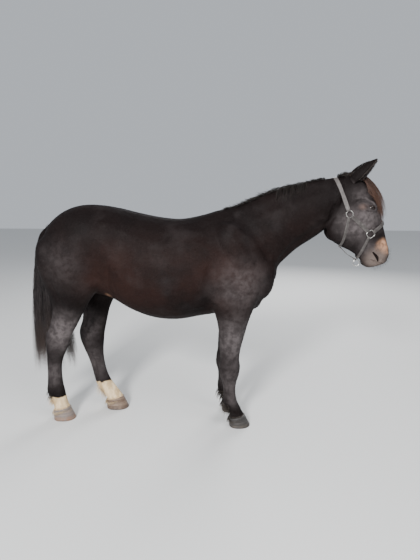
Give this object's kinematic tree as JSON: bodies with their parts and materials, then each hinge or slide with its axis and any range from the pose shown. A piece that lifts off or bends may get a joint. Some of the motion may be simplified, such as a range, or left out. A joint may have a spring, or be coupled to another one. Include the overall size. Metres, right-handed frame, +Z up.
{
  "type": "noriker horse model",
  "caption": "Still life-size standing draught horse, black-brown with white hind pasterns, wearing a leather headcollar with steel rings.",
  "frame": {"origin": "middle of the model's box at the ground, under the barrel", "axes": "+X forward to the head, +Y to the horse's left, +Z up"},
  "size_m": [2.4788, 0.5974, 1.8207],
  "materials": {
    "coat": "short black-brown summer coat, softly glossy",
    "horn": "dry hoof horn with growth rings",
    "eye": "wet dark brown eye",
    "hair": "long black horsehair with brown tips",
    "leather": "worn grey-brown headcollar leather",
    "steel": "worn bright steel rings"
  },
  "bodies": {
    "root": {"torso": "coat", "neck": "coat", "head": "coat", "foreleg_right": "coat", "foreleg_left": "coat", "fore_cannon_right": "coat", "fore_cannon_left": "coat", "hindleg_right": "coat", "hindleg_left": "coat", "hind_cannon_right": "coat", "hind_cannon_left": "coat", "ear_right": "coat", "ear_left": "coat", "hoof_fore_right": "horn", "hoof_fore_left": "horn", "hoof_hind_right": "horn", "hoof_hind_left": "horn", "eye_right": "eye", "eye_left": "eye", "tail": "hair", "strap_crown": "leather", "strap_throat": "leather", "strap_cheek_right": "leather", "strap_cheek_left": "leather", "strap_nose": "leather", "strap_chin": "leather", "strap_jaw": "leather", "ring_cheek_right": "steel", "ring_cheek_left": "steel", "ring_nose_right": "steel", "ring_nose_left": "steel", "ring_chin": "steel"}
  },
  "joints": []
}
